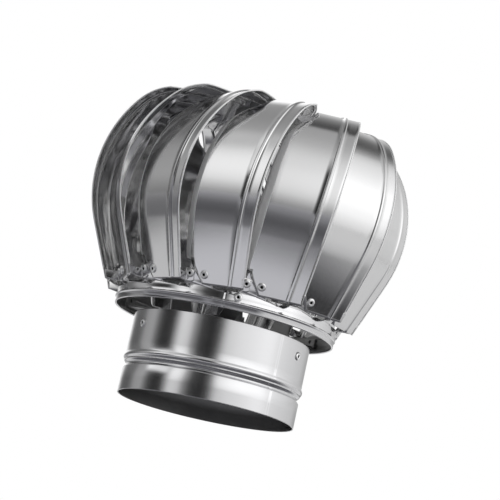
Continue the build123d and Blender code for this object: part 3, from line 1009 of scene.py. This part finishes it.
# Studio
def make_world():
    """Walls that are white to the camera, and light and dark bands to everything else."""
    world = bpy.data.worlds.new("studio")
    bpy.context.scene.world = world
    world.use_nodes = True
    tree = world.node_tree
    tree.nodes.clear()
    place = tree.nodes.new("ShaderNodeTexCoord")
    split = tree.nodes.new("ShaderNodeSeparateXYZ")
    tree.links.new(place.outputs["Generated"], split.inputs["Vector"])
    blend = elevation_ramp(tree, split, CARD_BLEND)
    low_cards = azimuth_ramp(tree, split, LOW_CARDS)
    high_cards = azimuth_ramp(tree, split, HIGH_CARDS)
    cards = mixed(tree, "MIX", blend, low_cards, high_cards)
    tone = mixed(tree, "MULTIPLY", 1.0, elevation_ramp(tree, split, SKY_TONES), cards)
    for around, upwards in GLOWS:
        shares = azimuth_ramp(tree, split, around), elevation_ramp(tree, split, upwards)
        tone = mixed(tree, "ADD", 1.0, tone, maths(tree, "MULTIPLY", *shares))
    bands = tree.nodes.new("ShaderNodeBackground")
    tree.links.new(tone, bands.inputs["Color"])
    white = tree.nodes.new("ShaderNodeBackground")
    white.inputs["Color"].default_value = (1, 1, 1, 1)
    path = tree.nodes.new("ShaderNodeLightPath")
    chooser = tree.nodes.new("ShaderNodeMixShader")
    tree.links.new(path.outputs["Is Camera Ray"], chooser.inputs["Fac"])
    tree.links.new(bands.outputs["Background"], chooser.inputs[1])
    tree.links.new(white.outputs["Background"], chooser.inputs[2])
    out = tree.nodes.new("ShaderNodeOutputWorld")
    tree.links.new(chooser.outputs["Shader"], out.inputs["Surface"])


def floor_finish():
    """The floor's tone by distance, darkened near the axis as a painted shadow of the cowl, with its cards
    laid one over another.
    """
    material = bpy.data.materials.new("floor")
    material.use_nodes = True
    tree = material.node_tree
    surface = tree.nodes["Principled BSDF"]
    surface.inputs["Roughness"].default_value = FLOOR_ROUGHNESS
    surface.inputs["Specular IOR Level"].default_value = 0.0
    surface.inputs["Emission Strength"].default_value = FLOOR_GLOW
    place = tree.nodes.new("ShaderNodeTexCoord")
    split = tree.nodes.new("ShaderNodeSeparateXYZ")
    tree.links.new(place.outputs["Object"], split.inputs["Vector"])
    length = tree.nodes.new("ShaderNodeVectorMath")
    length.operation = "LENGTH"
    tree.links.new(place.outputs["Object"], length.inputs[0])
    distance = length.outputs["Value"]
    # The tone is dark near the axis: a painted shadow of the cowl on the floor
    tone = distance_ramp(tree, distance, FLOOR_TONES_WITH_PAINTED_SHADOW)
    for card_tone, sector, rings in FLOOR_CARDS:
        reach = distance_ramp(tree, distance, rings)
        cover = maths(tree, "MULTIPLY", azimuth_ramp(tree, split, sector), reach)
        tone = mixed(tree, "MIX", cover, tone, (*card_tone, 1))
    tree.links.new(tone, surface.inputs["Base Color"])
    tree.links.new(tone, surface.inputs["Emission Color"])
    return material


def make_floor():
    """A floor that the metal reflects and the camera doesn't see."""
    mesh = bpy.data.meshes.new("floor")
    corners = [(-1, -1), (1, -1), (1, 1), (-1, 1)]
    mesh.from_pydata([(x * FLOOR_REACH, y * FLOOR_REACH, 0) for x, y in corners], [], [(0, 1, 2, 3)])
    mesh.materials.append(floor_finish())
    floor = bpy.data.objects.new("floor", mesh)
    floor.location.z = -FLOOR_DROP
    floor.visible_camera = False
    bpy.context.scene.collection.objects.link(floor)


def make_key_light():
    """The lamp, turned to the camera's aim."""
    lamp = bpy.data.lights.new("key_light", "AREA")
    lamp.shape = "RECTANGLE"
    lamp.size, lamp.size_y = KEY_SIZE
    lamp.energy = KEY_POWER
    key = bpy.data.objects.new("key_light", lamp)
    key.location = KEY_PLACE
    key.rotation_euler = (AIM - KEY_PLACE).to_track_quat("-Z", "Y").to_euler()
    bpy.context.scene.collection.objects.link(key)


def make_camera():
    """The camera, set by its distance, elevation and roll, and by where the aim lands in the frame."""
    elevation = radians(CAMERA_ELEVATION)
    roll = radians(CAMERA_ROLL)
    level_right = Vector((1, 0, 0))
    level_up = Vector((0, sin(elevation), cos(elevation)))
    back = Vector((0, -cos(elevation), sin(elevation)))
    right = level_right * cos(roll) - level_up * sin(roll)
    up = level_right * sin(roll) + level_up * cos(roll)
    off_right = (AIM_PIXEL[0] - FRAME_PIXELS / 2) / PIXELS_PER_METRE
    off_up = (FRAME_PIXELS / 2 - AIM_PIXEL[1]) / PIXELS_PER_METRE
    place = AIM - right * off_right - up * off_up + back * CAMERA_DISTANCE
    lens = bpy.data.cameras.new("camera")
    lens.sensor_width = SENSOR
    lens.lens = CAMERA_DISTANCE * PIXELS_PER_METRE * SENSOR / FRAME_PIXELS
    camera = bpy.data.objects.new("camera", lens)
    bpy.context.scene.collection.objects.link(camera)
    camera.matrix_world = Matrix(
        (
            (right.x, up.x, back.x, place.x),
            (right.y, up.y, back.y, place.y),
            (right.z, up.z, back.z, place.z),
            (0, 0, 0, 1),
        )
    )
    bpy.context.scene.camera = camera


# The cowl and its studio
for number in range(VANE_COUNT):
    make_vane(number)
make_hems()
make_neck()
make_ring()
make_tabs()
rivet_heads("corner_rivet_heads", "corner_rivets", "rotor", vane_rivet_places(CORNER_RIVET_ALONG))
rivet_heads("ear_rivet_heads", "ear_rivets", "rotor", vane_rivet_places(EAR_RIVET_ALONG))
ring_places = round_rivet_places(RING_RIVET_AZIMUTHS, RING_RADIUS, RING_RIVET_HEIGHT)
rivet_heads("ring_rivet_heads", "ring_rivets", "rotor", ring_places)
neck_places = round_rivet_places(NECK_RIVET_AZIMUTHS, NECK_RADIUS, NECK_RIVET_HEIGHT)
rivet_heads("neck_rivet_heads", "neck_rivets", "base", neck_places)
finish_plain_pieces()
make_world()
make_floor()
make_key_light()
make_camera()

bpy.context.scene.view_settings.view_transform = "Standard"
